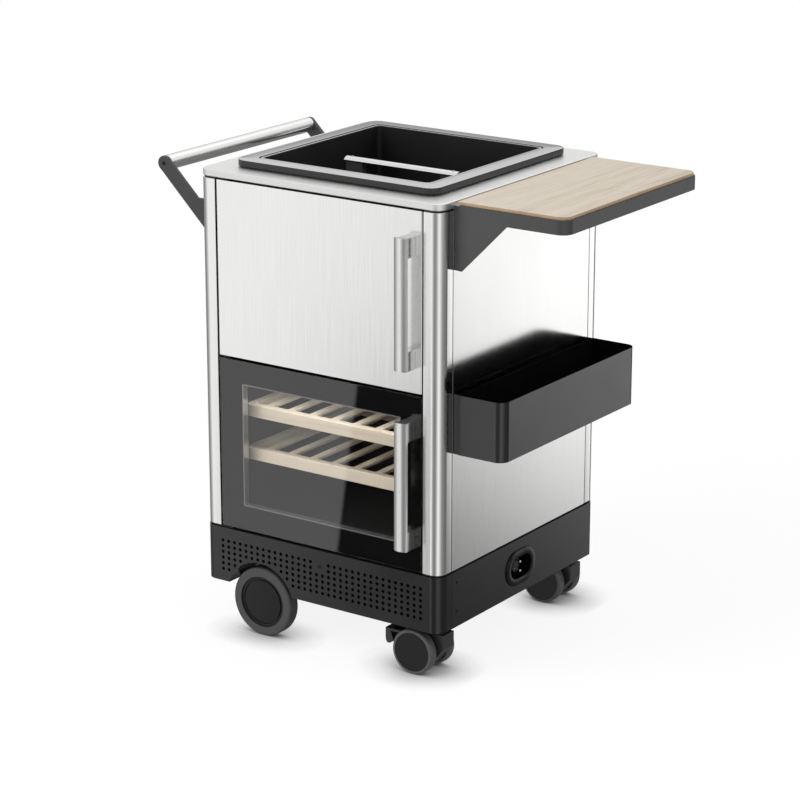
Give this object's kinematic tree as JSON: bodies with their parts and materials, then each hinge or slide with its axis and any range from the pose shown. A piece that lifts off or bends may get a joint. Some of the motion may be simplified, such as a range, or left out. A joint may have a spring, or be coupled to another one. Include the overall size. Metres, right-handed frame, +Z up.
{
  "type": "outdoor bar cart",
  "caption": "Steel bar cart on wheels and casters with an ice tub in the top, a cupboard over a glass-door wine cooler, a side shelf, a basket and a push handle.",
  "frame": {"origin": "on the floor at the middle of the whole cart's outline", "axes": "+Z up; the doors face -Y; the side shelf hangs on the +X side and the push handle on the -X side"},
  "size_m": [0.9342, 0.595, 0.943],
  "materials": {
    "black_coat": "satin black powder coat",
    "stainless": "fine upright brush",
    "black_plastic": "smooth satin",
    "liner": "smooth satin",
    "dark_liner": "smooth satin",
    "seal_rubber": "matte",
    "tyre_rubber": "matte",
    "pale_wood": "bare fine-grained wood",
    "oak": "clear-oiled oak veneer",
    "tinted_glass": "polished, grey tint"
  },
  "bodies": {
    "cabinet": {"base_frame": "black_coat", "caster_plates": "stainless", "wheel_axles": "stainless", "wheel_housings": "black_coat", "plinth_front": "black_coat", "plinth_back": "black_coat", "plinth_left": "black_coat", "plinth_right": "black_coat", "screws": "stainless", "corner_post_front_left": "stainless", "corner_post_front_right": "stainless", "corner_post_rear_left": "stainless", "corner_post_rear_right": "stainless", "side_panel_left": "stainless", "side_panel_right": "stainless", "back_panel": "stainless", "top_frame": "black_coat", "worktop": "stainless", "tub": "black_plastic", "tub_seal": "seal_rubber", "cupboard_liner": "liner", "cooler_liner": "dark_liner", "wine_shelf_upper": "pale_wood", "wine_shelf_lower": "pale_wood", "inlet_housing": "black_plastic", "inlet_pins": "stainless", "hinge_plates": "stainless", "push_arm_front": "black_coat", "push_arm_rear": "black_coat", "push_tube": "stainless"},
    "upper_door": {"upper_door_skin": "stainless", "upper_door_core": "liner", "upper_door_gasket": "seal_rubber", "upper_handle": "stainless"},
    "glass_door": {"glass_pane": "tinted_glass", "glass_door_frame": "black_plastic", "glass_spacer": "stainless", "glass_inner_pane": "tinted_glass", "glass_door_gasket": "seal_rubber", "lower_handle": "stainless"},
    "lift_out_tray": {"ice_tray": "black_plastic", "tray_edge": "black_plastic", "grip_posts": "black_plastic", "grip_bar": "stainless"},
    "side_shelf": {"shelf_frame": "black_coat", "shelf_board": "oak"},
    "side_basket": {"basket": "black_coat"},
    "front_wheel": {"front_wheel_tyre": "tyre_rubber", "front_wheel_disc": "black_plastic"},
    "rear_wheel": {"rear_wheel_tyre": "tyre_rubber", "rear_wheel_disc": "black_plastic"},
    "front_caster": {"front_caster_hood": "black_plastic", "front_caster_axle": "stainless"},
    "front_caster_outer": {"front_caster_wheel_outer": "black_plastic"},
    "front_caster_inner": {"front_caster_wheel_inner": "black_plastic"},
    "front_brake": {"front_brake_pedal": "black_plastic"},
    "rear_caster": {"rear_caster_hood": "black_plastic", "rear_caster_axle": "stainless"},
    "rear_caster_outer": {"rear_caster_wheel_outer": "black_plastic"},
    "rear_caster_inner": {"rear_caster_wheel_inner": "black_plastic"}
  },
  "joints": [
    {"name": "upper_door_hinge", "type": "hinge", "parent": "cabinet", "child": "upper_door", "pos_m": [-0.2789, -0.2555, 0.738], "axis": [0, 0, -1], "range_deg": [0, 110]},
    {"name": "glass_door_hinge", "type": "hinge", "parent": "cabinet", "child": "glass_door", "pos_m": [-0.2789, -0.2555, 0.387], "axis": [0, 0, -1], "range_deg": [0, 110]},
    {"name": "tray_lift", "type": "slide", "parent": "cabinet", "child": "lift_out_tray", "axis": [0, 0, 1], "range_m": [0, 0.16]},
    {"name": "shelf_lift_off", "type": "slide", "parent": "cabinet", "child": "side_shelf", "axis": [0, 0, 1], "range_m": [0, 0.009]},
    {"name": "basket_lift_off", "type": "slide", "parent": "cabinet", "child": "side_basket", "axis": [0, 0, 1], "range_m": [0, 0.009]},
    {"name": "front_wheel_spin", "type": "hinge", "parent": "cabinet", "child": "front_wheel", "pos_m": [-0.1979, -0.2465, 0.07], "axis": [0, 1, 0], "continuous": true},
    {"name": "rear_wheel_spin", "type": "hinge", "parent": "cabinet", "child": "rear_wheel", "pos_m": [-0.1979, 0.2795, 0.07], "axis": [0, 1, 0], "continuous": true},
    {"name": "front_caster_swivel", "type": "hinge", "parent": "cabinet", "child": "front_caster", "pos_m": [0.1851, -0.215, 0.1], "axis": [0, 0, 1], "continuous": true},
    {"name": "front_caster_outer_spin", "type": "hinge", "parent": "front_caster", "child": "front_caster_outer", "pos_m": [0.1581, -0.2452, 0.045], "axis": [0, 1, 0], "continuous": true},
    {"name": "front_caster_inner_spin", "type": "hinge", "parent": "front_caster", "child": "front_caster_inner", "pos_m": [0.1581, -0.1847, 0.045], "axis": [0, 1, 0], "continuous": true},
    {"name": "front_brake_press", "type": "hinge", "parent": "front_caster", "child": "front_brake", "pos_m": [0.1371, -0.215, 0.068], "axis": [0, -1, 0], "range_deg": [0, 12]},
    {"name": "rear_caster_swivel", "type": "hinge", "parent": "cabinet", "child": "rear_caster", "pos_m": [0.1851, 0.248, 0.1], "axis": [0, 0, 1], "continuous": true},
    {"name": "rear_caster_outer_spin", "type": "hinge", "parent": "rear_caster", "child": "rear_caster_outer", "pos_m": [0.1581, 0.2782, 0.045], "axis": [0, 1, 0], "continuous": true},
    {"name": "rear_caster_inner_spin", "type": "hinge", "parent": "rear_caster", "child": "rear_caster_inner", "pos_m": [0.1581, 0.2177, 0.045], "axis": [0, 1, 0], "continuous": true}
  ]
}
